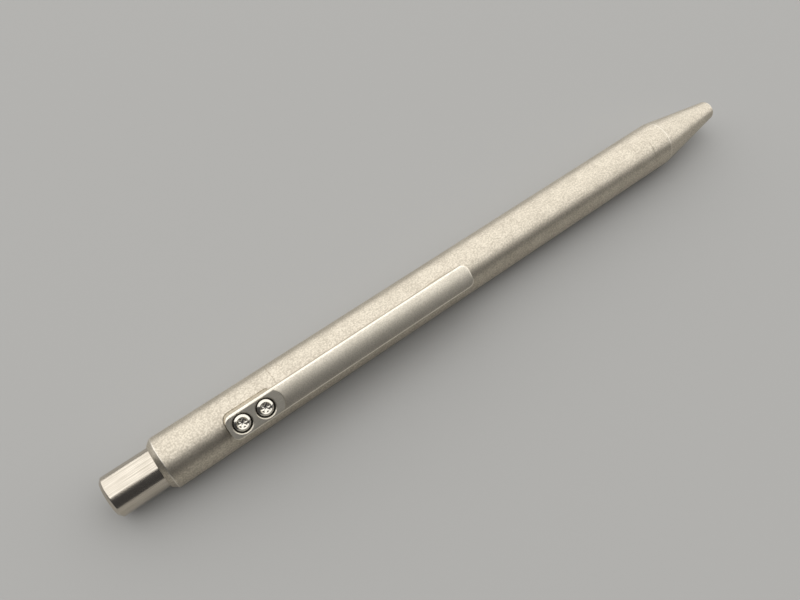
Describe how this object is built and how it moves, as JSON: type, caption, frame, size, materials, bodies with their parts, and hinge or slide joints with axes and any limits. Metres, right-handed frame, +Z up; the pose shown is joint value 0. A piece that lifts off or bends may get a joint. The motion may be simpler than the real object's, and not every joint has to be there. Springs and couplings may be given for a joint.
{
  "type": "retractable pen",
  "caption": "Slim metal click pen: plain round barrel, tapered nose, polished push button, flat pocket clip held by screws, and a spring-loaded refill that the button pushes out.",
  "frame": {"origin": "on the surface the pen lies on, under the middle of its bounding box at rest, with the refill drawn in", "axes": "+X along the centre line towards the writing end; +Z up from the surface; the clip stands 38.5 degrees from +Z towards -Y"},
  "size_m": [0.1452, 0.0104, 0.0111],
  "materials": {
    "blasted_titanium": "matte",
    "tumbled_titanium": "satin",
    "polished_titanium": "polished",
    "polished_steel": "polished",
    "spring_steel": "satin",
    "tungsten_carbide": "polished",
    "white_acetal": "satin",
    "black_nitrile": "matte",
    "clear_polypropylene": "gloss",
    "grey_polypropylene": "satin",
    "black_gel_ink": "gloss",
    "clear_grease": "gloss"
  },
  "bodies": {
    "barrel": {"rear_barrel": "blasted_titanium", "front_barrel": "blasted_titanium", "nose_cone": "blasted_titanium", "clip": "tumbled_titanium", "clip_screw_rear": "polished_steel", "clip_screw_front": "polished_steel", "ratchet_sleeve": "white_acetal", "o_ring_rear": "black_nitrile", "o_ring_front": "black_nitrile", "return_spring": "spring_steel"},
    "button": {"push_button": "polished_titanium", "plunger": "white_acetal"},
    "refill": {"indexing_rotor": "white_acetal", "refill_tube": "clear_polypropylene", "refill_end_plug": "grey_polypropylene", "refill_tip_holder": "clear_polypropylene", "refill_point": "polished_steel", "refill_ball": "tungsten_carbide", "ink_column": "black_gel_ink", "grease_follower": "clear_grease"}
  },
  "joints": [
    {"name": "button_press", "type": "slide", "parent": "barrel", "child": "button", "axis": [1, 0, 0], "range_m": [0, 0.0056], "stiffness_N_per_m": 450, "springref_m": -0.004},
    {"name": "refill_advance", "type": "slide", "parent": "barrel", "child": "refill", "axis": [1, 0, 0], "range_m": [0, 0.0056], "deforming": ["return_spring"]}
  ],
  "couplings": [
    {"joint": "refill_advance", "follows": "button_press", "ratio": 1}
  ]
}
